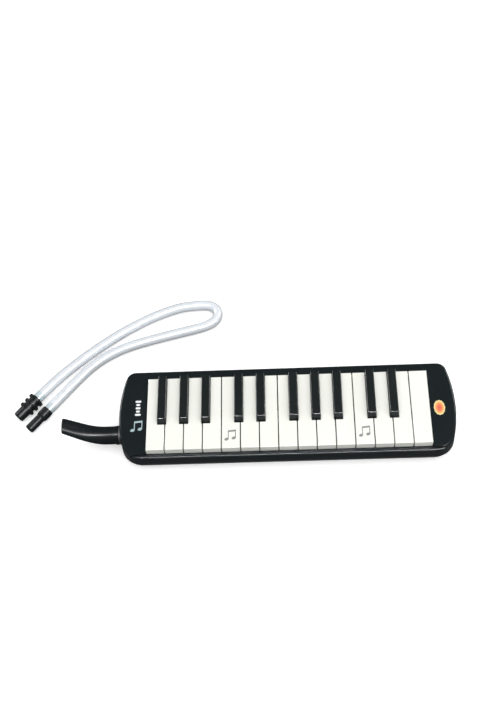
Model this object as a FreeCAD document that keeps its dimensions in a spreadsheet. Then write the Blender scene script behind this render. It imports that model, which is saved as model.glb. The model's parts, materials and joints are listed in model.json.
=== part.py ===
"""A 25-key melodica with its mouthpiece, its reed mechanism and a loose blow hose.

The instrument lies on its back with the keys up.  X runs to the treble end, Y to the rear,
Z up, and the origin is the middle of the flat face it lies on.  All sizes are millimetres.
"""

import FreeCAD, Part
import Sketcher
import math
import os

VEC = FreeCAD.Vector
TURN_X = FreeCAD.Rotation(VEC(0, 1, 0), 90)   # carries a cylinder's own Z onto X

SIZES = {
    # outer case, seen in plan and in height
    "body_length": 350, "body_depth": 100, "end_radius": 150,
    "rear_corner": 11, "front_corner": 20,
    "parting": 19.5, "cheek_top": 36, "ledge_top": 31, "ledge_edge": -46.6,
    "wall": 2.2, "draft": 3, "edge_round": 2.4,
    # keyboard
    "key_pitch": 19.5, "key_gap": 1.25, "key_front": -44.1, "key_length": 82,
    "white_top": 40, "white_drop": 9, "board_centre": 1.4, "key_skin": 1.6,
    "black_width": 8.7, "black_length": 52.3, "black_top": 46.5, "black_slope": 2.5,
    "black_bend": 1.3, "black_round": 0.6,
    "side_play": 0.45, "notch_play": 1.3, "board_play": 0.8, "lever_under": 35,
    # key action
    "axle_place": 10, "axle_height": 26.4, "axle_width": 3, "axle_play": 0.05,
    "bed_top": 22.5, "bed_under": 20, "bed_half": 151.5, "bed_front": -42, "bed_rear": 42.5,
    "pad_place": 34, "pad_width": 7, "tone_hole": 4.5, "felt_top": 25,
    # reed block and air chamber
    "block_front": 16, "block_rear": 42, "block_under": 12, "block_end": 149,
    "plate_thick": 1, "reed_width": 2.2, "chamber_under": 4.2, "gasket_thick": 0.8,
    # mouthpiece and its socket
    "socket_place": -16.7, "socket_height": 20, "socket_outer": 20, "socket_bore": 15.2,
    "spigot": 15, "tube_outer": 19, "tube_wall": 1.9,
    # screws
    "screw_shank": 2.9, "screw_head": 5.6, "boss_width": 7,
    # blow hose
    "hose_outer": 11,
    # drain
    "drain_place": 22, "drain_height": 9, "drain_width": 8, "drain_drop": 0.65,
    # strap on the back
    "strap_place": -19, "strap_width": 22, "strap_thick": 1.6, "strap_half": 72,
}

# the keys from the bass end, and how far each sharp stands from the joint of its two neighbours
NOTES = ("F3 Fs3 G3 Gs3 A3 As3 B3 C4 Cs4 D4 Ds4 E4 F4 Fs4 G4 Gs4 A4 As4 B4 "
         "C5 Cs5 D5 Ds5 E5 F5").split()
SHARP_SHIFT = {"F": -3.3, "G": 0.0, "A": 3.3, "C": -1.5, "D": 1.8}

# the hose's route on the surface it lies on, from its connector to its mouthpiece
HOSE_ROUTE = [
    (-269.6, 35.2, 8.8), (-259.5, 47.1, 8.8), (-240.0, 70.3, 5.7), (-200.0, 104.0, 5.7),
    (-158.0, 131.0, 5.7), (-121.0, 146.6, 5.7), (-100.0, 149.3, 5.7), (-81.3, 149.2, 5.7),
    (-73.6, 141.1, 5.7), (-74.6, 129.9, 5.7), (-85.2, 122.1, 5.7), (-105.0, 116.8, 5.7),
    (-144.0, 107.4, 5.7), (-181.0, 96.2, 5.7), (-209.5, 78.5, 5.7), (-231.9, 53.2, 5.7),
    (-247.9, 32.7, 6.6), (-256.9, 22.0, 6.6),
]

doc = FreeCAD.newDocument("Melodica")
sheet = doc.addObject("Spreadsheet::Sheet", "Sizes")
for row, (alias, value) in enumerate(SIZES.items(), start=1):
    sheet.set(f"A{row}", alias)
    sheet.set(f"B{row}", str(value))
    sheet.setAlias(f"B{row}", alias)
doc.recompute()

parts = []   # every sub-part that is written out


def size(alias):
    """A driving dimension, read from the sheet."""
    return float(sheet.get(alias))


def bind(thing, prop, value):
    """Give a property a number, or an expression on the sheet's cells."""
    if isinstance(value, str):
        thing.setExpression(prop, value)
    else:
        thing.setExpression(prop, f"{value:.6f}")


def keep(thing, name):
    """Mark an object as a sub-part under the name of its node."""
    thing.Label = name
    parts.append(thing)
    return thing


# ---------------------------------------------------------------- Part primitives

def box(name, low_x, low_y, low_z, wide, deep, tall):
    """A box from its lowest corner and its three sides."""
    made = doc.addObject("Part::Box", name)
    bind(made, "Length", wide)
    bind(made, "Width", deep)
    bind(made, "Height", tall)
    bind(made, "Placement.Base.x", low_x)
    bind(made, "Placement.Base.y", low_y)
    bind(made, "Placement.Base.z", low_z)
    return made


def rod(name, at_x, at_y, at_z, width, long, along="z"):
    """A cylinder of a given diameter, from one end's centre, along Z or X."""
    made = doc.addObject("Part::Cylinder", name)
    if along == "x":
        made.Placement = FreeCAD.Placement(VEC(), TURN_X)
    bind(made, "Radius", f"({width}) / 2")
    bind(made, "Height", long)
    bind(made, "Placement.Base.x", at_x)
    bind(made, "Placement.Base.y", at_y)
    bind(made, "Placement.Base.z", at_z)
    return made


def fuse(name, *pieces):
    made = doc.addObject("Part::MultiFuse", name)
    made.Shapes = list(pieces)
    return made


def cut(name, base, *tools):
    made = doc.addObject("Part::Cut", name)
    made.Base = base
    made.Tool = tools[0] if len(tools) == 1 else fuse(name + "_tools", *tools)
    return made


def group(name, pieces):
    """Several like solids under one name."""
    made = doc.addObject("Part::Compound", name)
    made.Links = list(pieces)
    return made


# ---------------------------------------------------------------- PartDesign helpers

def new_body(name):
    return keep(doc.addObject("PartDesign::Body", name), name)


def sketch_on(body, name, role, offset=0.0):
    """A sketch on one of the body's own origin planes, moved along the plane's normal."""
    plane = next(f for f in body.Origin.OriginFeatures if f.Role == role)
    made = body.newObject("Sketcher::SketchObject", name)
    made.AttachmentSupport = (plane, [""])
    made.MapMode = "FlatFace"
    bind(made, "AttachmentOffset.Base.z", offset)
    return made


def rectangle(body, name, role, offset, left, right, low, high):
    """A rectangle whose four sides are bound to the sheet, in the plane's own axes."""
    made = sketch_on(body, name, role, offset)
    corners = [VEC(-1, -1, 0), VEC(1, -1, 0), VEC(1, 1, 0), VEC(-1, 1, 0)]
    for i in range(4):
        made.addGeometry(Part.LineSegment(corners[i], corners[(i + 1) % 4]))
    for i in range(4):
        made.addConstraint(Sketcher.Constraint("Coincident", i, 2, (i + 1) % 4, 1))
    for i in range(4):
        made.addConstraint(Sketcher.Constraint(("Horizontal", "Vertical")[i % 2], i))
    for kind, corner, value in (("DistanceX", 0, left), ("DistanceY", 0, low),
                                ("DistanceX", 2, right), ("DistanceY", 2, high)):
        start = -1.0 if corner == 0 else 1.0
        index = made.addConstraint(Sketcher.Constraint(kind, -1, 1, corner, 1, start))
        bind(made, f"Constraints[{index}]", value)
    return made


def ring(body, name, role, offset, across, up, width):
    """A circle of a given diameter, in the plane's own axes."""
    made = sketch_on(body, name, role, offset)
    made.addGeometry(Part.Circle(VEC(0.5, 0.5, 0), VEC(0, 0, 1), 1.0))
    for kind, value in (("DistanceX", across), ("DistanceY", up)):
        index = made.addConstraint(Sketcher.Constraint(kind, -1, 1, 0, 3, 0.5))
        bind(made, f"Constraints[{index}]", value)
    index = made.addConstraint(Sketcher.Constraint("Diameter", 0, 2.0))
    bind(made, f"Constraints[{index}]", width)
    return made


def drawn(body, name, role, offset, edges):
    """A sketch of edges that are worked out from the sheet."""
    made = sketch_on(body, name, role, offset)
    made.addGeometry(edges, False)
    return made


def polygon(points):
    corners = [VEC(x, y, 0) for x, y in points]
    return [Part.LineSegment(a, b) for a, b in zip(corners, corners[1:] + corners[:1])]


def pad(body, name, sketch, length, reverse=False, both=False):
    made = body.newObject("PartDesign::Pad", name)
    made.Profile = sketch
    bind(made, "Length", length)
    made.Reversed = reverse
    made.Midplane = both
    return made


def pocket(body, name, sketch, depth, reverse=False, both=False):
    """A pocket that has to take material away."""
    doc.recompute()
    before = body.Shape.Volume
    made = body.newObject("PartDesign::Pocket", name)
    made.Profile = sketch
    bind(made, "Length", depth)
    made.Reversed = reverse
    made.Midplane = both
    doc.recompute()
    if body.Shape.Volume > before - 0.01:
        raise RuntimeError(f"{body.Label}: {name} cuts nothing")
    return made


def loft(body, name, kind, sketches, ruled=False):
    made = body.newObject(f"PartDesign::{kind}Loft", name)
    made.Profile = sketches[0]
    made.Sections = sketches[1:]
    made.Ruled = ruled
    return made


def round_edges(body, name, base, radius, wanted):
    """Fillet the edges of a feature that a test picks."""
    doc.recompute()
    names = [f"Edge{i + 1}" for i, edge in enumerate(base.Shape.Edges) if wanted(edge)]
    made = body.newObject("PartDesign::Fillet", name)
    made.Base = (base, names)
    bind(made, "Radius", radius)
    return made


def at_height(edge, z):
    box_of = edge.BoundBox
    return abs(box_of.ZMin - z) < 0.01 and abs(box_of.ZMax - z) < 0.01


# ---------------------------------------------------------------- the case's outline

def outline(inset, rear=None, front=None):
    """The case in plan: straight long sides, bowed ends and rounded corners, all tangent."""
    half_x = size("body_length") / 2 - inset
    half_y = size("body_depth") / 2 - inset
    bow = size("end_radius") - inset
    rear = size("rear_corner") - inset if rear is None else rear
    front = size("front_corner") - inset if front is None else front
    bow_x = half_x - bow
    up = VEC(0, 0, 1)

    def corner(radius, side):
        """The corner's centre, and its two tangent points, on the long side and on the end."""
        y = side * (half_y - radius)
        x = bow_x + math.sqrt((bow - radius) ** 2 - y ** 2)
        lean = math.atan2(y, x - bow_x)
        on_end = VEC(bow_x + bow * math.cos(lean), bow * math.sin(lean), 0)
        return VEC(x, y, 0), VEC(x, side * half_y, 0), on_end, lean

    front_c, front_flat, front_end, front_lean = corner(front, -1)
    rear_c, rear_flat, rear_end, rear_lean = corner(rear, 1)
    right = [
        Part.ArcOfCircle(Part.Circle(front_c, up, front), -math.pi / 2, front_lean),
        Part.ArcOfCircle(Part.Circle(VEC(bow_x, 0, 0), up, bow), front_lean, rear_lean),
        Part.ArcOfCircle(Part.Circle(rear_c, up, rear), rear_lean, math.pi / 2),
    ]
    left = [
        Part.ArcOfCircle(Part.Circle(VEC(-rear_c.x, rear_c.y, 0), up, rear),
                         math.pi / 2, math.pi - rear_lean),
        Part.ArcOfCircle(Part.Circle(VEC(-bow_x, 0, 0), up, bow),
                         math.pi - rear_lean, math.pi - front_lean),
        Part.ArcOfCircle(Part.Circle(VEC(-front_c.x, front_c.y, 0), up, front),
                         math.pi - front_lean, 1.5 * math.pi),
    ]
    flip = lambda p: VEC(-p.x, p.y, 0)
    return (right + [Part.LineSegment(rear_flat, flip(rear_flat))] + left
            + [Part.LineSegment(flip(front_flat), front_flat)])


# ---------------------------------------------------------------- places that repeat

board_left = "(Sizes.board_centre - 7.5 * Sizes.key_pitch)"
key_rear = "(Sizes.key_front + Sizes.key_length)"
case_screws = [(x, y) for x in (-160, 160) for y in (-35.5, 34)]
WHITES = [n for n in NOTES if "s" not in n]


def left_of_board():
    return size("board_centre") - 7.5 * size("key_pitch")


def sharp_centre(note):
    """Where a sharp key's middle lies: near the joint of the two naturals beside it."""
    below = WHITES.index(note.replace("s", ""))
    return left_of_board() + (below + 1) * size("key_pitch") + SHARP_SHIFT[note[0]]


def natural_span(note):
    """The natural's two sides at the front, then at the rear where the sharps leave it narrower."""
    at, play = WHITES.index(note), size("key_gap") / 2
    low = left_of_board() + at * size("key_pitch") + play
    high = low + size("key_pitch") - 2 * play
    beside = size("black_width") / 2 + size("side_play")
    rear_low, rear_high = low, high
    after, before = NOTES.index(note) + 1, NOTES.index(note) - 1
    if before > 0 and "s" in NOTES[before]:
        rear_low = sharp_centre(NOTES[before]) + beside
    if after < len(NOTES) and "s" in NOTES[after]:
        rear_high = sharp_centre(NOTES[after]) - beside
    return low, high, rear_low, rear_high


def lever_place(note):
    """The middle of a key's rear part, which carries its bearing and its pad."""
    if "s" in note:
        return sharp_centre(note)
    span = natural_span(note)
    return (span[2] + span[3]) / 2


levers = [lever_place(note) for note in NOTES]
bed_screws = [((levers[i] + levers[i + 1]) / 2, y) for i in (1, 22) for y in (-26, -6)]


# ---------------------------------------------------------------- case

def make_top_cover():
    body = new_body("top_cover")
    height = "Sizes.cheek_top - Sizes.parting"
    shell = pad(body, "cover_block", drawn(body, "cover_plan", "XY_Plane", "Sizes.parting",
                                           outline(0)), height)
    shell.TaperAngle = -size("draft")
    round_edges(body, "soft_rim", shell, "Sizes.edge_round",
                lambda edge: at_height(edge, size("cheek_top")))
    pocket(body, "front_ledge",
           rectangle(body, "ledge_plan", "XY_Plane", "Sizes.cheek_top", "-Sizes.body_length",
                     "Sizes.body_length", "-Sizes.body_depth", "Sizes.ledge_edge"),
           "Sizes.cheek_top - Sizes.ledge_top")
    lip = size("ledge_edge") - 1.5
    round_edges(body, "soft_lip", body.Tip, 1.8,
                lambda edge: at_height(edge, size("ledge_top")) and edge.BoundBox.YMin < lip)
    low = "Sizes.ledge_top - Sizes.wall - Sizes.parting"
    pocket(body, "hollow", drawn(body, "hollow_plan", "XY_Plane", "Sizes.parting",
                                 outline(size("wall"))), low, reverse=True)
    hidden = "Sizes.ledge_top - Sizes.wall"
    deep = "Sizes.cheek_top - Sizes.ledge_top"
    for side, left, right in (("bass", -167, -148.6), ("treble", 151.4, 167)):
        pocket(body, f"{side}_cheek_hollow",
               rectangle(body, f"{side}_cheek_plan", "XY_Plane", hidden, left, right, -42, 35),
               deep, reverse=True)
    pocket(body, "rear_rim_hollow",
           rectangle(body, "rear_rim_plan", "XY_Plane", hidden, -140, 143, 40.6, 46), deep,
           reverse=True)
    pocket(body, "keyboard_opening",
           rectangle(body, "opening_plan", "XY_Plane", "Sizes.cheek_top",
                     f"{board_left} - Sizes.board_play / 2",
                     f"{board_left} + 15 * Sizes.key_pitch + Sizes.board_play / 2",
                     "Sizes.key_front - Sizes.board_play", f"{key_rear} + Sizes.board_play"),
           "Sizes.cheek_top")
    pocket(body, "sill_before_keys",
           rectangle(body, "sill_plan", "XY_Plane", "Sizes.cheek_top",
                     f"{board_left} - Sizes.board_play / 2",
                     f"{board_left} + 15 * Sizes.key_pitch + Sizes.board_play / 2",
                     "Sizes.ledge_edge - 1", "Sizes.key_front"),
           "Sizes.cheek_top - Sizes.ledge_top")
    for number, (x, y) in enumerate(case_screws):
        pad(body, f"post_{number}", ring(body, f"post_plan_{number}", "XY_Plane",
                                         "Sizes.parting - 1.5", x, y, "Sizes.boss_width"),
            "Sizes.cheek_top - Sizes.parting")
        pocket(body, f"pilot_{number}", ring(body, f"pilot_plan_{number}", "XY_Plane",
                                             "Sizes.parting - 1.5", x, y, 2.6), 11,
               reverse=True)
    pocket(body, "socket_notch",
           ring(body, "socket_round", "YZ_Plane", -150, "Sizes.socket_place",
                "Sizes.socket_height", "Sizes.socket_outer + 0.2"), 40)


def make_back_cover():
    body = new_body("back_cover")
    # a boat-like section: each level's height, how far it is set in, and its corner radii
    levels = [(0, 13, 9, 12), (1.1, 9.2, 9.5, 14), (4, 5.4, 10, 16), (8.5, 3, 10.5, 18),
              (13.5, 1.2, 11, 19.5), (size("parting"), 0, 11, 20)]
    loft(body, "boat", "Additive",
         [drawn(body, f"level_{i}", "XY_Plane", z, outline(inset, rear, front))
          for i, (z, inset, rear, front) in enumerate(levels)])
    wall = size("wall")
    inside = [(wall, 13, 9, 12), (5, 5 + wall, 9, 14), (10, 2.5 + wall, 9, 16),
              (size("parting") + 0.5, wall, 8.8, 17.8)]
    doc.recompute()
    before = body.Shape.Volume
    loft(body, "inside", "Subtractive",
         [drawn(body, f"inner_level_{i}", "XY_Plane", z, outline(inset, rear, front))
          for i, (z, inset, rear, front) in enumerate(inside)])
    doc.recompute()
    if body.Shape.Volume > 0.5 * before:
        raise RuntimeError("the back cover's inside was not cut")
    half = "(Sizes.strap_half + 9)"
    room = "(Sizes.strap_width / 2 + 3)"
    edge = ["-" + half, half, f"Sizes.strap_place - {room}", f"Sizes.strap_place + {room}"]
    wider = [f"{edge[0]} - 2", f"{edge[1]} + 2", f"{edge[2]} - 2", f"{edge[3]} + 2"]
    pad(body, "strap_floor", rectangle(body, "strap_floor_plan", "XY_Plane", "Sizes.wall - 0.4",
                                       *wider), 3.8)
    for number, (x, y) in enumerate(case_screws):
        pad(body, f"boss_{number}", ring(body, f"boss_plan_{number}", "XY_Plane", 3, x, y,
                                         "Sizes.boss_width"), "Sizes.parting - 4.5")
    for number, (x, y) in enumerate(bed_screws):
        pad(body, f"bed_post_{number}", ring(body, f"bed_post_plan_{number}", "XY_Plane", 1, x,
                                             y, "Sizes.boss_width"), "Sizes.bed_under - 1")
    pocket(body, "strap_recess", rectangle(body, "strap_recess_plan", "XY_Plane", 0, *edge),
           3.2, reverse=True)
    for number, (x, y) in enumerate(case_screws):
        pocket(body, f"head_well_{number}", ring(body, f"head_plan_{number}", "XY_Plane", -1, x,
                                                 y, "Sizes.screw_head + 0.4"), 9.5,
               reverse=True)
        pocket(body, f"screw_way_{number}", ring(body, f"way_plan_{number}", "XY_Plane", 0, x,
                                                 y, 3.2), 30, reverse=True)
    for number, (x, y) in enumerate(bed_screws):
        pocket(body, f"bed_pilot_{number}", ring(body, f"bed_pilot_plan_{number}", "XY_Plane",
                                                 "Sizes.bed_under + 1", x, y, 2.6), 11)
    pocket(body, "socket_notch",
           ring(body, "socket_round", "YZ_Plane", -150, "Sizes.socket_place",
                "Sizes.socket_height", "Sizes.socket_outer + 0.2"), 40)
    pocket(body, "drain_hole",
           ring(body, "drain_round", "YZ_Plane", 190, "Sizes.drain_place",
                "Sizes.drain_height", "Sizes.drain_width + 0.5"), 34)


# ---------------------------------------------------------------- key bed and reed work

def make_key_bed():
    plate = box("bed_plate", "-Sizes.bed_half", "Sizes.bed_front", "Sizes.bed_under",
                "2 * Sizes.bed_half", "Sizes.bed_rear - Sizes.bed_front",
                "Sizes.bed_top - Sizes.bed_under")
    block = box("reed_block", "-Sizes.bed_half", "Sizes.block_front", "Sizes.block_under",
                "Sizes.bed_half + Sizes.block_end", "Sizes.block_rear - Sizes.block_front",
                "Sizes.bed_top - Sizes.block_under")
    stands = []
    for number, joint in enumerate((-0.2, 4, 7, 11, 14, 15.2)):
        stands.append(box(f"axle_stand_{number}",
                          f"{board_left} + {joint} * Sizes.key_pitch - 1.6",
                          "Sizes.axle_place - 4", "Sizes.bed_top - 0.5", 3.2, 8, 6.6))
    tools = [rod("axle_way", "-Sizes.bed_half - 5", "Sizes.axle_place", "Sizes.axle_height",
                 "Sizes.axle_width", "2 * Sizes.bed_half + 10", "x")]
    for number, x in enumerate(levers):
        tools.append(box(f"reed_cell_{number}", x - 2.6, "Sizes.block_front + 5",
                         "Sizes.block_under - 1", 5.2, "Sizes.pad_place - Sizes.block_front - 3",
                         7.5))
        tools.append(rod(f"tone_way_{number}", x, "Sizes.pad_place", "Sizes.block_under",
                         "Sizes.tone_hole", 20))
    for number, (x, y) in enumerate(bed_screws):
        tools.append(rod(f"bed_screw_way_{number}", x, y, 10, 3.2, 20))
    keep(cut("key_bed", fuse("bed_solid", plate, block, *stands), *tools), "key_bed")


def make_reeds():
    """Two brass plates under the block, and a tongue over each plate's slot."""
    deep = "Sizes.pad_place - Sizes.block_front - 1"
    low = "Sizes.block_under - Sizes.plate_thick"
    halves = {"reed_plate_bass": levers[:13], "reed_plate_treble": levers[13:]}
    middle = (levers[12] + levers[13]) / 2
    ends = {"reed_plate_bass": (-148.8, middle - 0.4), "reed_plate_treble": (middle + 0.4, 146)}
    for name, places in halves.items():
        left, right = ends[name]
        plate = box(name + "_sheet", left, "Sizes.block_front + 3.5", low, right - left, deep,
                    "Sizes.plate_thick")
        slots = [box(f"{name}_slot_{i}", x - 1.25, "Sizes.block_front + 7", f"{low} - 1", 2.5,
                     11, 3) for i, x in enumerate(places)]
        keep(cut(name, plate, *slots), name)
    tongues = [box(f"tongue_{i}", f"{x:.4f} - Sizes.reed_width / 2", "Sizes.block_front + 7.2",
                   f"{low} - 0.3", "Sizes.reed_width", 12.6, 0.3) for i, x in enumerate(levers)]
    keep(group("reed_tongues", tongues), "reed_tongues")


def make_air_chamber():
    """A shallow tray sealed to the block by a gasket, with a window to the air duct."""
    rim = "Sizes.block_under - Sizes.gasket_thick"
    left, wide = "-Sizes.bed_half", "Sizes.bed_half + Sizes.block_end"
    front, deep = "Sizes.block_front", "Sizes.block_rear - Sizes.block_front - 1.5"
    shell = box("tray_block", left, front, "Sizes.chamber_under", wide, deep,
                f"{rim} - Sizes.chamber_under")
    inner = (f"{left} + 1.8", f"{front} + 1.8", f"{wide} - 3.6", f"{deep} - 3.6")
    hollow = box("tray_hollow", inner[0], inner[1], "Sizes.chamber_under + 1.5", inner[2],
                 inner[3], 20)
    window = box("tray_window", f"{left} - 1", 19, 6.3, 4, 8, 3.2)
    drain = rod("tray_drain", "Sizes.block_end - 4", "Sizes.drain_place",
                "Sizes.drain_height - Sizes.drain_drop", 3.6, 8, "x")
    keep(cut("reed_chamber_cover", shell, hollow, window, drain), "reed_chamber_cover")
    seal = box("gasket_sheet", left, front, rim, wide, deep, "Sizes.gasket_thick")
    inside = box("gasket_window", inner[0], inner[1], f"{rim} - 1", inner[2], inner[3], 3)
    keep(cut("chamber_gasket", seal, inside), "chamber_gasket")


def make_socket():
    """The blow socket in the bass end, and the duct that leads from it to the air chamber."""
    mouth = -174.2
    y, z = "Sizes.socket_place", "Sizes.socket_height"
    tube = rod("socket_tube", mouth, y, z, "Sizes.socket_outer", 22.4, "x")
    duct = box("duct_block", -163, "Sizes.socket_place", 4.6, 11.4, 46.2, 21)
    bore = rod("socket_way", mouth - 1, y, z, "Sizes.socket_bore", 22, "x")
    way = box("duct_way", -161.4, "Sizes.socket_place + 2", 6.2, 8.3, 42.6, 17.8)
    outlet = box("duct_outlet", -154, 19, 6.3, 5, 8, 3.2)
    keep(cut("mouthpiece_socket", fuse("socket_solid", tube, duct), bore, way, outlet),
         "mouthpiece_socket")
    ring_solid = rod("seal_disc", mouth - 1, y, z, 19, 0.9, "x")
    hole = rod("seal_way", mouth - 3, y, z, "Sizes.socket_bore + 0.2", 6, "x")
    keep(cut("socket_seal_ring", ring_solid, hole), "socket_seal_ring")


def make_action():
    """The keys' common axle, their springs and the felt they land on."""
    keep(rod("key_axle_rod", "-Sizes.bed_half + 1", "Sizes.axle_place", "Sizes.axle_height",
             "Sizes.axle_width", "2 * Sizes.bed_half - 2", "x"), "key_axle_rod")
    keep(box("key_stop_felt", "-Sizes.bed_half + 7", -39, "Sizes.bed_top",
             "2 * Sizes.bed_half - 12", 6, "Sizes.felt_top - Sizes.bed_top"), "key_stop_felt")
    bed, top, thick = size("bed_top"), 32.9, 0.4
    side = [VEC(0, 4, bed), VEC(0, -2, bed), VEC(0, -12, top - thick), VEC(0, -13.1, top - thick),
            VEC(0, -13.1, top), VEC(0, -11.7, top), VEC(0, -1.8, bed + thick),
            VEC(0, 4, bed + thick)]
    leaf = Part.Face(Part.makePolygon(side + side[:1])).extrude(VEC(4, 0, 0))
    springs = []
    for number, x in enumerate(levers):
        spring = doc.addObject("Part::Feature", f"leaf_{number}")
        spring.Shape = leaf
        spring.Placement.Base = VEC(x - 2, 0, 0)
        springs.append(spring)
    keep(group("key_springs", springs), "key_springs")


# ---------------------------------------------------------------- keys

def lever_work(body, x, top):
    """What every key has underneath: a bearing on the axle, a pad arm and a spring seat."""
    drop = f"{top} - 1"
    pad(body, "bearing", rectangle(body, "bearing_plan", "XY_Plane", 24, x - 3, x + 3,
                                   "Sizes.axle_place - 4.5", "Sizes.axle_place + 4.5"),
        f"{drop} - 24")
    pad(body, "pad_arm", rectangle(body, "pad_arm_plan", "XY_Plane", 25, x - 3, x + 3,
                                   "Sizes.pad_place - 3", f"{key_rear} - 0.6"), f"{drop} - 25")
    pad(body, "spring_seat", rectangle(body, "spring_seat_plan", "XY_Plane", 33, x - 2.5,
                                       x + 2.5, -13.2, -10), f"{drop} - 33")
    pocket(body, "axle_way", ring(body, "axle_round", "YZ_Plane", x, "Sizes.axle_place",
                                  "Sizes.axle_height",
                                  "Sizes.axle_width + 2 * Sizes.axle_play"), 12, both=True)


def with_pad(note, x, *bodies):
    """The key and, glued under its arm, the felt-faced pad that closes its tone hole."""
    name = bodies[-1].Name.replace("_lever", "")
    felt = rod(name + "_pad", x, "Sizes.pad_place", "Sizes.bed_top + 0.05", "Sizes.pad_width",
               "2.45")
    keep(group(name + "_with_pad", [*bodies, felt]), name)


def make_natural(note):
    """A natural: its wide hollow front, and behind it the lever that runs between the sharps."""
    low, high, rear_low, rear_high = natural_span(note)
    front, rear = size("key_front"), size("key_front") + size("key_length")
    step = rear - size("black_length") - size("notch_play")
    top, skin = size("white_top"), size("key_skin")
    under = "Sizes.white_top - Sizes.white_drop"

    cap = doc.addObject("PartDesign::Body", f"white_key_{note}_front")
    block = pad(cap, "front_block", rectangle(cap, "front_plan", "XY_Plane", under, low, high,
                                              front, step), "Sizes.white_drop")
    round_edges(cap, "soft_front", block, 0.35,
                lambda edge: at_height(edge, top) and edge.BoundBox.YMax < step - 0.1
                or at_height(edge, top) and edge.BoundBox.YLength > 1)
    pocket(cap, "front_hollow", rectangle(cap, "hollow_plan", "XY_Plane", under, low + skin,
                                          high - skin, front + skin, step - skin),
           "Sizes.white_drop - Sizes.key_skin", reverse=True)
    pad(cap, "stop_post", rectangle(cap, "stop_plan", "XY_Plane", 28.6, low + 7, low + 11,
                                    -38, -34), "Sizes.white_top - 29.6")

    body = doc.addObject("PartDesign::Body", f"white_key_{note}_lever")
    bar = pad(body, "bar", rectangle(body, "bar_plan", "XY_Plane", "Sizes.lever_under", rear_low,
                                     rear_high, step, rear),
              "Sizes.white_top - Sizes.lever_under")
    round_edges(body, "soft_bar", bar, 0.35,
                lambda edge: at_height(edge, top) and edge.BoundBox.YMin > step - 0.1
                and (edge.BoundBox.YLength > 1 or edge.BoundBox.YMin > rear - 0.1))
    x = (rear_low + rear_high) / 2
    lever_work(body, x, "Sizes.white_top")
    with_pad(note, x, cap, body)


def make_sharp(note):
    x = sharp_centre(note)
    body = doc.addObject("PartDesign::Body", f"black_key_{note}_lever")
    rear = size("key_front") + size("key_length")
    front, top, under = rear - size("black_length"), size("black_top"), size("lever_under")
    # seen from the side: the front leans back to a bend, and the top runs level to the rear
    side = [(front, under), (rear, under), (rear, top - 0.6), (front + size("black_slope"), top),
            (front + 0.4, top - 5.2)]
    cap = pad(body, "cap", drawn(body, "cap_side", "YZ_Plane", x, polygon(side)),
              "Sizes.black_width", both=True)

    bend = round_edges(body, "soft_bend", cap, "Sizes.black_bend",
                       lambda edge: at_height(edge, top) and edge.BoundBox.YLength < 0.01)

    def top_side(edge):
        bounds = edge.BoundBox
        return bounds.ZMin > top - 1 and bounds.YLength > 20 or (
            bounds.ZMin > under + 3 and bounds.XLength < 0.1 and bounds.YMax < front + 6)

    round_edges(body, "soft_top", bend, "Sizes.black_round", top_side)
    pocket(body, "hollow", rectangle(body, "hollow_plan", "XY_Plane", under,
                                     f"{x:.4f} - Sizes.black_width / 2 + Sizes.key_skin",
                                     f"{x:.4f} + Sizes.black_width / 2 - Sizes.key_skin",
                                     front + 2.2, rear - 1.8), 7, reverse=True)
    lever_work(body, x, "(Sizes.black_top - 2.5)")
    with_pad(note, x, body)


# ---------------------------------------------------------------- mouthpiece and hose

def ellipse(body, name, offset, place, height, half_y, half_z):
    made = sketch_on(body, name, "YZ_Plane", offset)
    centre = VEC(place, height, 0)
    if half_y >= half_z:
        curve = Part.Ellipse(centre + VEC(half_y, 0, 0), centre + VEC(0, half_z, 0), centre)
    else:
        curve = Part.Ellipse(centre + VEC(0, half_z, 0), centre + VEC(half_y, 0, 0), centre)
    made.addGeometry(curve)
    return made


def make_mouthpiece():
    """A short tube that flattens and rises to a beak."""
    body = new_body("mouthpiece")
    y, z = size("socket_place"), size("socket_height")
    half = size("tube_outer") / 2
    # distance along the tube, rise, sideways lean, half width and half thickness
    shape = [(-178.9, 0, 0, half, half), (-188, 0, 0, half, half - 0.05),
             (-197, 1.1, 0.1, half, half - 0.8), (-206, 4.6, 0.5, half, 7.0),
             (-215, 9.9, 1.1, half - 0.1, 5.6), (-223.5, 15.4, 1.9, half - 0.4, 4.8),
             (-232, 20.6, 2.6, half - 1, 4.4)]
    loft(body, "beak", "Additive",
         [ellipse(body, f"beak_level_{i}", at, y + lean, z + rise, wide, thick)
          for i, (at, rise, lean, wide, thick) in enumerate(shape)])
    pad(body, "collar", ring(body, "collar_round", "YZ_Plane", -178.9, "Sizes.socket_place",
                             "Sizes.socket_height", "Sizes.tube_outer + 1"), 3.4)
    pad(body, "spigot", ring(body, "spigot_round", "YZ_Plane", -178.9, "Sizes.socket_place",
                             "Sizes.socket_height", "Sizes.spigot"), 15.4)
    doc.recompute()
    before = body.Shape.Volume
    wall = size("tube_wall")
    tip = shape[-1][0] - 0.4
    bore = [(tip, 20.8, 2.6)] + [(at, rise, lean) for at, rise, lean, _, _ in shape[-2:0:-1]]
    narrow = {at: (wide, thick) for at, _, _, wide, thick in shape}
    narrow[tip] = narrow[shape[-1][0]]
    loft(body, "air_way", "Subtractive",
         [ellipse(body, f"bore_level_{i}", at, y + lean, z + rise, narrow[at][0] - wall,
                  narrow[at][1] - wall) for i, (at, rise, lean) in enumerate(bore)])
    doc.recompute()
    if body.Shape.Volume > before - 500:
        raise RuntimeError("the mouthpiece's bore was not cut")
    pocket(body, "spigot_way", ring(body, "spigot_way_round", "YZ_Plane", -160,
                                    "Sizes.socket_place", "Sizes.socket_height", 11.2), 30)


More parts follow.
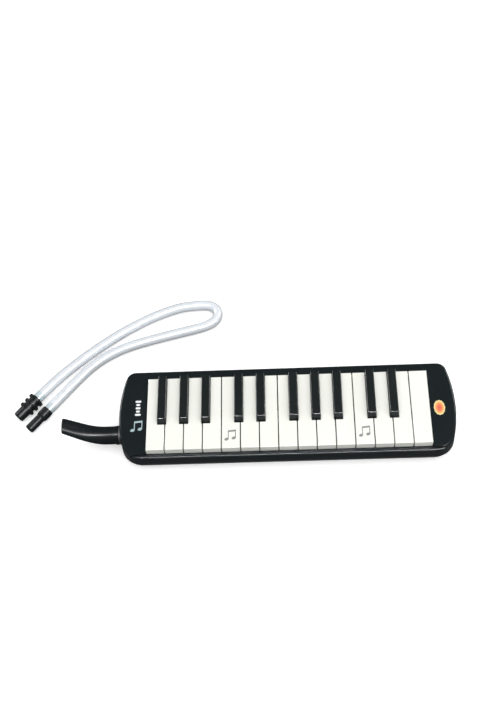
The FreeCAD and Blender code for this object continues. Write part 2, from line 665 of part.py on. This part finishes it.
def turned(name, profile, place, heading):
    """A turned fitting: a profile of (along, radius) about the axis, laid at a heading."""
    body = doc.addObject("PartDesign::Body", name)
    made = drawn(body, "section", "XZ_Plane", 0, polygon(profile))
    spin = body.newObject("PartDesign::Revolution", "turning")
    spin.Profile = made
    spin.ReferenceAxis = (made, ["H_Axis"])
    spin.Angle = 360
    body.Placement = FreeCAD.Placement(place, FreeCAD.Rotation(VEC(0, 0, 1), heading))
    return keep(body, name)


def make_hose():
    """The hose's tube, with its ringed connector and its ribbed mouthpiece."""
    route = [VEC(*point) for point in HOSE_ROUTE]
    width = size("hose_outer")
    edges, last = [], route[0]
    for before, here, after in zip(route, route[1:], route[2:]):
        into, out = (before - here), (after - here)
        turn = math.pi - into.getAngle(out)
        reach = 0.45 * min(into.Length, out.Length)
        radius = reach / math.tan(turn / 2)
        print(f"hose turn {math.degrees(turn):5.1f} degrees, radius {radius:7.1f} mm")
        start = here + into.normalize() * reach
        end = here + out.normalize() * reach
        halfway = (into + out).normalize()
        middle = here + halfway * (radius / math.cos(turn / 2) - radius)
        edges += [Part.LineSegment(last, start).toShape(), Part.Arc(start, middle, end).toShape()]
        last = end
    edges.append(Part.LineSegment(last, route[-1]).toShape())
    path = Part.Wire(edges)
    section = Part.Wire(Part.Circle(route[0], route[1] - route[0], width / 2).toShape())
    tube = path.makePipeShell([section], True, False)
    expected = math.pi * (width / 2) ** 2 * path.Length
    print(f"hose {path.Length:.1f} mm long, volume {tube.Volume / expected:.4f} of the expected")
    if abs(tube.Volume / expected - 1) > 0.01:
        raise RuntimeError("the hose's tube is not its section times its length")
    hose = doc.addObject("Part::Feature", "blow_hose")
    hose.Shape = tube
    hose.Placement = FreeCAD.Placement()
    keep(hose, "blow_hose")

    back = route[0] - route[1]
    turned("hose_connector",
           [(0, 3.2), (0, 6.4), (0.8, 6.4), (0.8, 8.7), (3.4, 8.7), (3.4, 6.4), (7.4, 6.4),
            (7.4, 8.7), (10, 8.7), (10, 6.4), (14, 6.4), (14, 8.7), (16.6, 8.7),
            (16.6, 6.4), (28.5, 5.95), (28.5, 4.2), (16, 4.2), (16, 3.2)],
           route[0], math.degrees(math.atan2(back.y, back.x)))
    back = route[-1] - route[-2]
    turned("hose_mouthpiece",
           [(0, 2.8), (0, 6.0), (0.6, 6.2), (9.4, 6.2), (12.2, 5.0), (28.7, 5.1), (29.3, 4.6),
            (29.3, 2.8)],
           route[-1], math.degrees(math.atan2(back.y, back.x)))


# ---------------------------------------------------------------- drain, strap and screws

def make_drain():
    """A spring-held drain in the treble end: pushed in, it lifts its seal off the chamber."""
    y, z = "Sizes.drain_place", "Sizes.drain_height"
    seat = size("block_end")
    knob = rod("drain_knob", seat + 9, y, z, "Sizes.drain_width", 14.2, "x")
    stem_z = f"{z} - Sizes.drain_drop"
    stem = rod("drain_stem", seat - 5.2, y, stem_z, 2.6, 16, "x")
    keep(fuse("drain_button", knob, stem), "drain_button")
    disc = rod("drain_disc", seat - 3.4, y, stem_z, 5, 1.5, "x")
    way = rod("drain_disc_way", seat - 5, y, stem_z, 2.6, 5, "x")
    keep(cut("drain_seal", disc, way), "drain_seal")
    coils = []
    for number in range(4):
        coil = doc.addObject("Part::Torus", f"drain_coil_{number}")
        coil.Radius1 = 2.7
        coil.Radius2 = 0.3
        coil.Placement.Rotation = TURN_X
        bind(coil, "Placement.Base.x", seat + 0.9 + 2.3 * number)
        bind(coil, "Placement.Base.y", y)
        bind(coil, "Placement.Base.z", stem_z)
        coils.append(coil)
    keep(group("drain_spring", coils), "drain_spring")


def make_strap():
    """The hand strap in the recess of the back, held by a plate at each end."""
    half, wide = "Sizes.strap_half", "Sizes.strap_width"
    keep(box("hand_strap", f"-{half}", f"Sizes.strap_place - {wide} / 2", 1.6,
             f"2 * {half}", wide, "Sizes.strap_thick"), "hand_strap")
    plates = []
    for number, x in enumerate((f"-{half} - 1", f"{half} - 9")):
        plates.append(box(f"strap_plate_{number}", x, f"Sizes.strap_place - {wide} / 2 + 1", 0.6,
                          10, f"{wide} - 2", 1))
    keep(group("hand_strap_plates", plates), "hand_strap_plates")


def screw(name, x, y, under_head, long, down):
    """A pan-head screw from its head's seat; down is 1 with its head below, -1 with it above."""
    start = under_head if down == 1 else under_head - long
    shank = rod(name + "_shank", x, y, start, "Sizes.screw_shank", long)
    head = rod(name + "_head", x, y, under_head - 2 if down == 1 else under_head,
               "Sizes.screw_head", 2)
    return fuse(name, shank, head)


def make_screws():
    keep(group("case_screws", [screw(f"case_screw_{i}", x, y, 8.5, 17, 1)
                               for i, (x, y) in enumerate(case_screws)]), "case_screws")
    keep(group("bed_screws", [screw(f"bed_screw_{i}", x, y, size("bed_top"), 10, -1)
                              for i, (x, y) in enumerate(bed_screws)]), "bed_screws")


def main():
    make_back_cover()
    make_top_cover()
    make_key_bed()
    make_reeds()
    make_air_chamber()
    make_socket()
    make_action()
    for note in NOTES:
        if "s" in note:
            make_sharp(note)
        else:
            make_natural(note)
    make_mouthpiece()
    make_hose()
    make_drain()
    make_strap()
    make_screws()
    doc.recompute()
    for thing in doc.Objects:
        if "Invalid" in thing.State or "Error" in thing.State:
            raise RuntimeError(f"{thing.Label} did not rebuild: {thing.State}")
    for part in parts:
        if part.Shape.isNull() or not part.Shape.isValid():
            raise RuntimeError(f"{part.Label} has no valid shape")
    os.makedirs("parts", exist_ok=True)
    for part in parts:
        part.Shape.exportStep(f"parts/{part.Label}.step")
        print(f"{part.Label}: {len(part.Shape.Solids)} solid(s), {part.Shape.Volume:.0f} mm3")


main()
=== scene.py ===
"""The looks of a 25-key melodica with its blow hose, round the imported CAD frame.

Lengths are in metres, in the frame of the CAD model: X to the treble end, Y to the rear of the
keys, Z up, and the case's flat back on Z = 0. The hose's route and the prints' outlines are in
millimetres, and turn into metres where they are used.
"""

import json
import math

import bmesh
import bpy
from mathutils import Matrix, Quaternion, Vector


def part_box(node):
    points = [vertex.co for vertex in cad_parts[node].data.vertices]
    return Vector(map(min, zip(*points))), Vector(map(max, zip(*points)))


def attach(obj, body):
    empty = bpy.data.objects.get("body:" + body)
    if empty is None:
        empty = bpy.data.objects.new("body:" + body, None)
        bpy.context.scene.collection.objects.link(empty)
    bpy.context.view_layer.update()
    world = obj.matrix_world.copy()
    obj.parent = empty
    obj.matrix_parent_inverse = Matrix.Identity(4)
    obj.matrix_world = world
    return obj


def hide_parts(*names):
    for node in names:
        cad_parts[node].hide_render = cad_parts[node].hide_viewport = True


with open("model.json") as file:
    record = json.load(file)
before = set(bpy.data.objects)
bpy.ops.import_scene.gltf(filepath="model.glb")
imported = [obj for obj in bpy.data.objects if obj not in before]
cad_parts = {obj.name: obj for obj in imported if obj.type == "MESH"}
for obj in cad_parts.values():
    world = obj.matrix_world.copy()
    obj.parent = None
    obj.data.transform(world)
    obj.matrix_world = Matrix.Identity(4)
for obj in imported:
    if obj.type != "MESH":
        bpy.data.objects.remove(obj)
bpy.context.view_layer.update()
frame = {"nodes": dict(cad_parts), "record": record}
MM = 0.001
SCENE = bpy.context.scene
WHITE = (1.0, 1.0, 1.0, 1.0)

# ------------------------------------------------------------------ camera

CAMERA_PLACE = Vector((0.0091, -0.5018, 1.0375))
CAMERA_AIM = Vector((-0.0484, 0.0689, 0.020))
CAMERA_ROLL = 6.9      # degrees about the line of sight
CAMERA_LENS = 54.0     # mm
SENSOR_WIDTH = 36.0    # mm


def make_camera():
    data = bpy.data.cameras.new("studio_camera")
    data.lens = CAMERA_LENS
    data.sensor_width = SENSOR_WIDTH
    data.dof.use_dof = False
    camera = bpy.data.objects.new("studio_camera", data)
    SCENE.collection.objects.link(camera)
    sight = (CAMERA_AIM - CAMERA_PLACE).normalized()
    level = sight.to_track_quat("-Z", "Y")
    camera.rotation_mode = "QUATERNION"
    camera.rotation_quaternion = Quaternion(sight, math.radians(CAMERA_ROLL)) @ level
    camera.location = CAMERA_PLACE
    SCENE.camera = camera


# ------------------------------------------------------------------ the hose's size and route

HOSE_DIAMETER = 0.011
SPIGOT_FADE = (0.0075, 0.0105)     # distances from a fitting where its spigot's shade fades
# the hose's route on the surface it lies on, from its connector to its mouthpiece
HOSE_ROUTE = [
    (-269.6, 35.2, 8.8), (-259.5, 47.1, 8.8), (-240.0, 70.3, 5.7), (-200.0, 104.0, 5.7),
    (-158.0, 131.0, 5.7), (-121.0, 146.6, 5.7), (-100.0, 149.3, 5.7), (-81.3, 149.2, 5.7),
    (-73.6, 141.1, 5.7), (-74.6, 129.9, 5.7), (-85.2, 122.1, 5.7), (-105.0, 116.8, 5.7),
    (-144.0, 107.4, 5.7), (-181.0, 96.2, 5.7), (-209.5, 78.5, 5.7), (-231.9, 53.2, 5.7),
    (-247.9, 32.7, 6.6), (-256.9, 22.0, 6.6),
]

# ------------------------------------------------------------------ material tools

DRIFT_SCALE = 18.0      # features a metre, where a colour changes slowly
GLOSS_SCALE = 60.0      # features a metre, where a gloss is uneven
GLOSS_SWING = 0.05      # how far a roughness strays from its middle
COAT_ROUGHNESS = 0.15
LINE_SCALE = 900.0      # features a metre, in the fine lines of a metal
LINE_SWING = 0.08       # how far a metal's roughness strays from its middle
LINE_DEPTH = 0.02       # mm
RIB_DEPTH = 0.15        # mm, of a fabric's ribs


def new_material(name):
    """A material, with its node tree and its principled shader."""
    material = bpy.data.materials.new(name)
    material.use_nodes = True
    tree = material.node_tree
    return material, tree, tree.nodes["Principled BSDF"]


def add_node(tree, kind, **values):
    """A node; each value goes to its input of that name, or else to its setting of that name."""
    made = tree.nodes.new(kind)
    for key, value in values.items():
        if key in made.inputs:
            made.inputs[key].default_value = value
        else:
            setattr(made, key, value)
    return made


def set_inputs(node, values):
    for socket, value in values.items():
        node.inputs[socket].default_value = value


def object_place(tree):
    """The place of a point in its object's space, which is the CAD model's."""
    return add_node(tree, "ShaderNodeTexCoord").outputs["Object"]


def noise(tree, scale, detail=2.0, stretch=None):
    """Noise over object space; a stretch of three numbers draws it out along an axis."""
    source = object_place(tree)
    if stretch:
        mapping = add_node(tree, "ShaderNodeMapping", Scale=stretch)
        tree.links.new(source, mapping.inputs["Vector"])
        source = mapping.outputs["Vector"]
    made = add_node(tree, "ShaderNodeTexNoise", Scale=scale, Detail=detail)
    tree.links.new(source, made.inputs["Vector"])
    return made.outputs["Fac"]


def ramp(tree, source, stops):
    """A colour ramp over a value; stops are (position, colour)."""
    made = add_node(tree, "ShaderNodeValToRGB")
    tree.links.new(source, made.inputs["Fac"])
    while len(made.color_ramp.elements) < len(stops):
        made.color_ramp.elements.new(0.5)
    for element, (at, colour) in zip(made.color_ramp.elements, stops):
        element.position = at
        element.color = (*colour, 1.0)
    return made.outputs["Color"]


def spread(tree, source, low, high, start=0.0, end=1.0):
    """A value that goes from low to high as its source goes from start to end."""
    made = add_node(tree, "ShaderNodeMapRange")
    set_inputs(made, {"From Min": start, "From Max": end, "To Min": low, "To Max": high})
    tree.links.new(source, made.inputs["Value"])
    return made.outputs["Result"]


def bump(tree, shader, source, height):
    """Relief on a shader, of a height in metres."""
    made = add_node(tree, "ShaderNodeBump", Strength=1.0, Distance=height)
    tree.links.new(source, made.inputs["Height"])
    tree.links.new(made.outputs["Normal"], shader.inputs["Normal"])


def gloss(tree, shader, rough):
    """An uneven roughness, about its middle value."""
    patches = noise(tree, GLOSS_SCALE, 4.0)
    tree.links.new(spread(tree, patches, rough - GLOSS_SWING, rough + GLOSS_SWING),
                   shader.inputs["Roughness"])


# ------------------------------------------------------------------ materials

# dark and light colour, roughness, grain in features a metre, grain's height in mm, coat, shine
PLASTICS = {
    "case_plastic": ((0.0100, 0.0143, 0.0160), (0.0125, 0.0172, 0.0192),
                     0.19, 2600.0, 0.004, 0.0, 0.10),
    "inner_plastic": ((0.008, 0.009, 0.010), (0.013, 0.014, 0.015),
                      0.55, 1500.0, 0.02, 0.0, 0.3),
    "white_key_plastic": ((0.89, 0.895, 0.83), (0.91, 0.915, 0.855),
                          0.24, 400.0, 0.002, 0.2, 0.5),
    "black_key_plastic": ((0.0100, 0.0135, 0.0140), (0.0135, 0.0175, 0.0180),
                          0.20, 1800.0, 0.004, 0.0, 0.24),
    "mouthpiece_plastic": ((0.0090, 0.0115, 0.0125), (0.0125, 0.0155, 0.0170),
                           0.27, 1400.0, 0.005, 0.0, 0.06),
    "fitting_plastic": ((0.0085, 0.0115, 0.0120), (0.0130, 0.0165, 0.0170),
                        0.33, 1400.0, 0.005, 0.0, 0.06),
    "gasket_rubber": ((0.02, 0.02, 0.02), (0.035, 0.035, 0.035),
                      0.7, 900.0, 0.02, 0.0, 0.5),
}
# colour, roughness, and how the lines are drawn out along each axis
METALS = {
    "brass_plate": ((0.75, 0.55, 0.25), 0.3, (1.0, 0.05, 1.0)),
    "reed_bronze": ((0.72, 0.46, 0.26), 0.25, (1.0, 0.05, 1.0)),
    "steel": ((0.55, 0.55, 0.57), 0.3, (0.05, 1.0, 1.0)),
    "spring_steel": ((0.5, 0.5, 0.52), 0.25, (1.0, 0.05, 1.0)),
}
# dark and light colour, and the scale of the ribs
FABRICS = {
    "felt": ((0.030, 0.010, 0.010), (0.050, 0.017, 0.017), 500.0),
    "strap_webbing": ((0.010, 0.010, 0.012), (0.035, 0.035, 0.04), 330.0),
}
INK_GRAIN = (0.4, 900.0, 0.004, 0.0, 0.3)    # roughness, grain, its height in mm, coat, shine
HOSE_ROUGHNESS = 0.25
HOSE_GRAIN, HOSE_GRAIN_MM = 300.0, 0.008     # features a metre, and their height in mm
HOSE_TONES = [(0.3, (0.74, 0.78, 0.82)), (0.7, (0.78, 0.81, 0.85))]
SPIGOT_SHADE = (0.74, 0.82, 0.83, 1.0)       # darkens the hose where a spigot fills it
ROSETTE_TONES = [(0.10, (0.70, 0.07, 0.02)), (0.45, (0.85, 0.17, 0.03)),
                 (0.70, (0.90, 0.42, 0.08)), (0.90, (0.92, 0.72, 0.30))]


def plastic(name, dark, light, rough, grain, grain_mm, coat, shine):
    """A moulded plastic: a slow colour drift, a fine grain and an uneven gloss."""
    material, tree, shader = new_material(name)
    drift = noise(tree, DRIFT_SCALE, 3.0)
    tree.links.new(ramp(tree, drift, [(0.3, dark), (0.7, light)]), shader.inputs["Base Color"])
    gloss(tree, shader, rough)
    bump(tree, shader, noise(tree, grain), grain_mm * MM)
    set_inputs(shader, {"Coat Weight": coat, "Coat Roughness": COAT_ROUGHNESS,
                        "Specular IOR Level": shine})
    return material


def metal(name, colour, rough, stretch):
    """A drawn or milled metal with fine lines along one axis."""
    material, tree, shader = new_material(name)
    lines = noise(tree, LINE_SCALE, 3.0, stretch)
    dull = tuple(0.8 * c for c in colour)
    tree.links.new(ramp(tree, lines, [(0.3, dull), (0.7, colour)]), shader.inputs["Base Color"])
    tree.links.new(spread(tree, lines, rough - LINE_SWING, rough + LINE_SWING),
                   shader.inputs["Roughness"])
    set_inputs(shader, {"Metallic": 1.0})
    bump(tree, shader, lines, LINE_DEPTH * MM)
    return material


def fabric(name, dark, light, ribs):
    """A ribbed webbing or felt."""
    material, tree, shader = new_material(name)
    weave = add_node(tree, "ShaderNodeTexWave", Scale=ribs, Distortion=1.5, Detail=2.0)
    tree.links.new(object_place(tree), weave.inputs["Vector"])
    tree.links.new(ramp(tree, weave.outputs["Fac"], [(0.2, dark), (0.8, light)]),
                   shader.inputs["Base Color"])
    set_inputs(shader, {"Roughness": 0.9, "Sheen Weight": 0.3})
    bump(tree, shader, weave.outputs["Fac"], RIB_DEPTH * MM)
    return material


def hose_vinyl():
    """Milky vinyl, deeper in tone at each end, where a fitting's spigot fills it."""
    material, tree, shader = new_material("hose_vinyl")
    tone = ramp(tree, noise(tree, DRIFT_SCALE, 3.0), HOSE_TONES)
    place = object_place(tree)
    nearest = add_node(tree, "ShaderNodeMath", operation="MINIMUM")
    for socket, end in enumerate((HOSE_ROUTE[0], HOSE_ROUTE[-1])):
        reach = add_node(tree, "ShaderNodeVectorMath", operation="DISTANCE")
        tree.links.new(place, reach.inputs[0])
        reach.inputs[1].default_value = tuple(c * MM for c in end)
        tree.links.new(reach.outputs["Value"], nearest.inputs[socket])
    filled = spread(tree, nearest.outputs["Value"], 1.0, 0.0, *SPIGOT_FADE)
    over = add_node(tree, "ShaderNodeMixRGB", blend_type="MULTIPLY", Color2=SPIGOT_SHADE)
    tree.links.new(filled, over.inputs["Fac"])
    tree.links.new(tone, over.inputs["Color1"])
    tree.links.new(over.outputs["Color"], shader.inputs["Base Color"])
    gloss(tree, shader, HOSE_ROUGHNESS)
    bump(tree, shader, noise(tree, HOSE_GRAIN), HOSE_GRAIN_MM * MM)
    set_inputs(shader, {"Subsurface Weight": 0.7, "Subsurface Radius": (1.0, 1.0, 1.0),
                        "Subsurface Scale": 0.004})
    return material


def rosette_ink(centre, half_wide, half_tall):
    """Warm foil colours that run from red at the middle of the rosette to yellow at its rim."""
    material, tree, shader = new_material("rosette_foil")
    mapping = add_node(tree, "ShaderNodeMapping",
                       Location=(-centre[0] / half_wide, -centre[1] / half_tall, 0),
                       Scale=(1 / half_wide, 1 / half_tall, 0.0))
    tree.links.new(object_place(tree), mapping.inputs["Vector"])
    reach = add_node(tree, "ShaderNodeVectorMath", operation="LENGTH")
    tree.links.new(mapping.outputs["Vector"], reach.inputs[0])
    tree.links.new(ramp(tree, reach.outputs["Value"], ROSETTE_TONES),
                   shader.inputs["Base Color"])
    tree.links.new(spread(tree, noise(tree, 700.0), 0.3, 0.45), shader.inputs["Roughness"])
    bump(tree, shader, noise(tree, 900.0), 0.004 * MM)
    return material


def make_materials():
    """The finished material of each of the record's slots."""
    made = {"hose_vinyl": hose_vinyl()}
    for finish, looks in ((plastic, PLASTICS), (metal, METALS), (fabric, FABRICS)):
        for name, look in looks.items():
            made[name] = finish(name, *look)
    return made


def dress_frame(materials):
    """Give every CAD node the finished material of its slot."""
    slots = {part["node"]: part["material_slot"] for part in frame["record"]["subparts"]}
    for name, node in frame["nodes"].items():
        for holder in node.material_slots:
            holder.material = materials[slots[name]]


# ------------------------------------------------------------------ hose

def make_hose(materials):
    """The loose blow hose, as one smooth spline over its route."""
    data = bpy.data.curves.new("blow_hose_tube", "CURVE")
    data.dimensions = "3D"
    spline = data.splines.new("NURBS")
    spline.points.add(len(HOSE_ROUTE) - 1)
    for point, place in zip(spline.points, HOSE_ROUTE):
        point.co = (*(c * MM for c in place), 1.0)
    spline.order_u = 3
    spline.use_endpoint_u = True
    spline.resolution_u = 14
    data.bevel_depth = HOSE_DIAMETER / 2
    data.bevel_resolution = 8
    data.use_fill_caps = True
    hose = bpy.data.objects.new("blow_hose_tube", data)
    SCENE.collection.objects.link(hose)
    data.materials.append(materials["hose_vinyl"])
    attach(hose, "root")
    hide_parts("blow_hose")


# ------------------------------------------------------------------ printed marks

# places and sizes of the prints, in millimetres
BARS_PLACE = (-154.4, 6.1)
BARS_APART = 3.8
BAR_WIDTHS = (6.2, 4.2, 5.2, 4.2, 6.2)
BAR_TALL = 2.4
CHEEK_NOTES = (-154.6, -14.6, 12.5)          # x, y and size
KEY_NOTES = {"white_key_C4": (-57.0, -29.7, 12.0), "white_key_C5": (79.6, -29.7, 12.0)}
ROSETTE_PLACE = (157.3, -3.6)
ROSETTE_WIDE, ROSETTE_TALL = 11.6, 17.2
ROSETTE_LOBES = 12
LOBE_STEPS = 12         # points in the outline of a lobe
OVAL_STEPS = 28         # points in the outline of an oval
NOTE_LEAN = 20          # degrees that the notes' heads lean
INK_LIFT = 0.02         # the ink's clearance over its surface
INK_LAYER = 0.004       # how much higher each outline of a print lies than the one before
INK_DEPTH = 0.03


def oval(x, y, wide, tall, lean):
    """The outline of an ellipse about its centre, leaning by some degrees."""
    c, s = math.cos(math.radians(lean)), math.sin(math.radians(lean))
    points = []
    for step in range(OVAL_STEPS):
        turn = 2 * math.pi * step / OVAL_STEPS
        u, v = wide / 2 * math.cos(turn), tall / 2 * math.sin(turn)
        points.append((x + c * u - s * v, y + s * u + c * v))
    return points


def bar(x, y, wide, tall):
    """The outline of a bar with rounded ends, about its centre."""
    r = min(wide, tall) / 2
    points = []
    for corner, (sx, sy) in enumerate(((1, 1), (-1, 1), (-1, -1), (1, -1))):
        for step in range(5):
            turn = math.radians(90 * corner + 22.5 * step)
            points.append((x + sx * (wide / 2 - r) + r * math.cos(turn),
                           y + sy * (tall / 2 - r) + r * math.sin(turn)))
    return points


def joined_notes(x, y, size):
    """Two quavers under one beam, a plain sign for music, drawn in twelfths of its size."""
    u = size / 12
    left, right = x - 3.0 * u, x + 4.4 * u
    return [oval(left - 1.5 * u, y - 4.6 * u, 4.4 * u, 3.2 * u, NOTE_LEAN),
            oval(right - 1.5 * u, y - 3.4 * u, 4.4 * u, 3.2 * u, NOTE_LEAN),
            bar(left + 0.3 * u, y + 0.2 * u, 0.9 * u, 10.0 * u),
            bar(right + 0.3 * u, y + 1.2 * u, 0.9 * u, 9.4 * u),
            [(left - 0.15 * u, y + 3.2 * u), (right + 0.75 * u, y + 4.0 * u),
             (right + 0.75 * u, y + 6.0 * u), (left - 0.15 * u, y + 5.2 * u)]]


def scalloped(x, y, wide, tall, lobes):
    """The outline of an oval rosette with round lobes."""
    points = []
    for step in range(lobes * LOBE_STEPS):
        turn = 2 * math.pi * step / (lobes * LOBE_STEPS)
        swell = 0.93 + 0.07 * abs(math.cos(lobes * turn / 2))
        points.append((x + swell * wide / 2 * math.cos(turn),
                       y + swell * tall / 2 * math.sin(turn)))
    return points


def print_on(node, body, name, outlines, ink):
    """Ink with a little thickness on a node's top face; its outlines run anticlockwise."""
    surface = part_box(node)[1].z
    verts, faces = [], []
    for layer, outline in enumerate(outlines):
        low = surface + (INK_LIFT + INK_LAYER * layer) * MM
        count = len(outline)
        under = range(len(verts), len(verts) + count)
        over = range(under.stop, under.stop + count)
        for height in (low, low + INK_DEPTH * MM):
            verts += [(x * MM, y * MM, height) for x, y in outline]
        faces += [tuple(reversed(under)), tuple(over)]
        for i in range(count):
            after = (i + 1) % count
            faces.append((under[i], under[after], over[after], over[i]))
    mesh = bpy.data.meshes.new(name)
    mesh.from_pydata(verts, [], faces)
    mesh.materials.append(ink)
    piece = bpy.data.objects.new(name, mesh)
    SCENE.collection.objects.link(piece)
    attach(piece, body)


def make_prints():
    """Plain marks where such an instrument carries its prints."""
    white = plastic("white_ink", (0.78, 0.80, 0.80), (0.86, 0.88, 0.88), *INK_GRAIN)
    blue = plastic("grey_blue_ink", (0.28, 0.40, 0.42), (0.36, 0.49, 0.51), *INK_GRAIN)
    grey = plastic("grey_ink", (0.20, 0.21, 0.20), (0.28, 0.29, 0.28), *INK_GRAIN)
    foil = rosette_ink([c * MM for c in ROSETTE_PLACE], ROSETTE_WIDE / 2 * MM,
                       ROSETTE_TALL / 2 * MM)
    middle = len(BAR_WIDTHS) // 2
    bars = [bar(BARS_PLACE[0], BARS_PLACE[1] + BARS_APART * (row - middle), wide, BAR_TALL)
            for row, wide in enumerate(BAR_WIDTHS)]
    print_on("top_cover", "root", "cheek_bars", bars, white)
    print_on("top_cover", "root", "cheek_notes", joined_notes(*CHEEK_NOTES), blue)
    rosette = scalloped(*ROSETTE_PLACE, ROSETTE_WIDE, ROSETTE_TALL, ROSETTE_LOBES)
    print_on("top_cover", "root", "cheek_rosette", [rosette], foil)
    for key, place in KEY_NOTES.items():
        print_on(key, key, f"{key}_mark", joined_notes(*place), grey)


# ------------------------------------------------------------------ floor and light

WORLD_LEVEL = 0.45      # brightness of the surround, away from its dark side
WORLD_DARK = 0.06       # brightness in the middle of its dark side
WORLD_DARK_SIDE = (0.0, 0.50, 0.866)
WORLD_DARK_FADE = (0.35, 0.85)     # how much a ray points there, as the dark sets in
WORLD_BELOW = 0.4       # what is left of the brightness below the horizon
HORIZON_FADE = (-0.1, 0.2)         # slopes of a ray, from that to the whole brightness
FLOOR_HALF = 13.0
FLOOR_GREY = 0.90
FLOOR_DROP = 0.0002     # keeps the floor clear of the case's flat back
FLOOR_GLOW = 0.40       # light of the floor's own, which keeps it pale under the object
FLOOR_FADE = (0.5, 1.6)            # distances over which that light grows to plain white
DOME_RADIUS = 20.0
# place, aim, size and watts of each light, and whether it lights the object or is mirrored in it
LIGHTS = {
    "overhead_softbox": ((0.10, -0.05, 1.6), (0.05, 0, 0), (3.0, 2.4), 41.0, "light"),
    "right_fill": ((1.1, -0.8, 0.55), (0.3, 0, 0), (0.8, 0.5), 4.0, "light"),
    "bend_strip": ((0.27, -0.40, 1.36), (0.27, -0.05, 0), (1.46, 0.05), 170.0, "mirror"),
    "left_rim_strip": ((-1.2, 0.78, 0.72), (-0.2, 0, 0), (0.35, 0.5), 26.0, "mirror"),
    "right_rim_strip": ((1.2, 0.78, 0.72), (0.2, 0, 0), (0.35, 0.5), 20.0, "mirror"),
}


def area_light(name, place, aim, size, power, role):
    """A soft rectangular light, which either lights the object or is only mirrored in it."""
    data = bpy.data.lights.new(name, "AREA")
    data.shape = "RECTANGLE"
    data.size, data.size_y = size
    data.energy = power
    light = bpy.data.objects.new(name, data)
    SCENE.collection.objects.link(light)
    light.location = place
    light.rotation_mode = "QUATERNION"
    light.rotation_quaternion = (Vector(aim) - Vector(place)).to_track_quat("-Z", "Y")
    light.visible_glossy = role == "mirror"
    light.visible_diffuse = role == "light"


def make_world():
    """A dim surround, darkest below, and behind and above, where the flat tops mirror it."""
    world = bpy.data.worlds.new("studio_world")
    world.use_nodes = True
    tree = world.node_tree
    place = add_node(tree, "ShaderNodeTexCoord").outputs["Generated"]
    towards = add_node(tree, "ShaderNodeVectorMath", operation="DOT_PRODUCT")
    towards.inputs[1].default_value = WORLD_DARK_SIDE
    tree.links.new(place, towards.inputs[0])
    level = spread(tree, towards.outputs["Value"], WORLD_LEVEL, WORLD_DARK, *WORLD_DARK_FADE)
    parts = add_node(tree, "ShaderNodeSeparateXYZ")
    tree.links.new(place, parts.inputs["Vector"])
    below = spread(tree, parts.outputs["Z"], WORLD_BELOW, 1.0, *HORIZON_FADE)
    both = add_node(tree, "ShaderNodeMath", operation="MULTIPLY")
    tree.links.new(level, both.inputs[0])
    tree.links.new(below, both.inputs[1])
    background = tree.nodes["Background"]
    tree.links.new(both.outputs["Value"], background.inputs["Strength"])
    background.inputs["Color"].default_value = WHITE
    SCENE.world = world


def stage_piece(name, mesh, unseen_by):
    """A piece of the stage, which some kinds of light ray don't see."""
    piece = bpy.data.objects.new(name, mesh)
    for ray in unseen_by:
        setattr(piece, f"visible_{ray}", False)
    SCENE.collection.objects.link(piece)
    return piece


def white_glow(name, base, shine):
    """A material of a plain grey that also glows white, with its node tree and shader."""
    material, tree, shader = new_material(name)
    set_inputs(shader, {"Base Color": (base, base, base, 1.0), "Specular IOR Level": shine,
                        "Emission Color": WHITE})
    return material, tree, shader


def make_floor():
    """The pale floor, which is seen but neither lights the object nor is mirrored in it."""
    mesh = bpy.data.meshes.new("studio_floor")
    corners = [(sx * FLOOR_HALF, sy * FLOOR_HALF, 0)
               for sx, sy in ((-1, -1), (1, -1), (1, 1), (-1, 1))]
    mesh.from_pydata(corners, [], [(0, 1, 2, 3)])
    floor = stage_piece("studio_floor", mesh, ("glossy", "diffuse"))
    floor.location.z = -FLOOR_DROP
    material, tree, shader = white_glow("studio_floor", FLOOR_GREY, 0.1)
    shader.inputs["Roughness"].default_value = 0.9
    reach = add_node(tree, "ShaderNodeVectorMath", operation="LENGTH")
    tree.links.new(object_place(tree), reach.inputs[0])
    tree.links.new(spread(tree, reach.outputs["Value"], FLOOR_GLOW, 1.0, *FLOOR_FADE),
                   shader.inputs["Emission Strength"])
    mesh.materials.append(material)


def make_backdrop():
    """A wide pale dome that only closes the view above the floor's far edge."""
    mesh = bpy.data.meshes.new("studio_backdrop")
    shape = bmesh.new()
    bmesh.ops.create_uvsphere(shape, u_segments=64, v_segments=32, radius=DOME_RADIUS)
    shape.to_mesh(mesh)
    shape.free()
    stage_piece("studio_backdrop", mesh, ("diffuse", "glossy", "transmission", "shadow"))
    material, _, shader = white_glow("studio_backdrop", 0.0, 0.0)
    shader.inputs["Emission Strength"].default_value = 1.0
    mesh.materials.append(material)


def make_studio():
    make_floor()
    make_backdrop()
    make_world()
    for name, setting in LIGHTS.items():
        area_light(name, *setting)
    SCENE.view_settings.view_transform = "Standard"
    SCENE.view_settings.look = "None"


def main():
    make_camera()
    materials = make_materials()
    make_hose(materials)
    dress_frame(materials)
    make_prints()
    make_studio()


main()
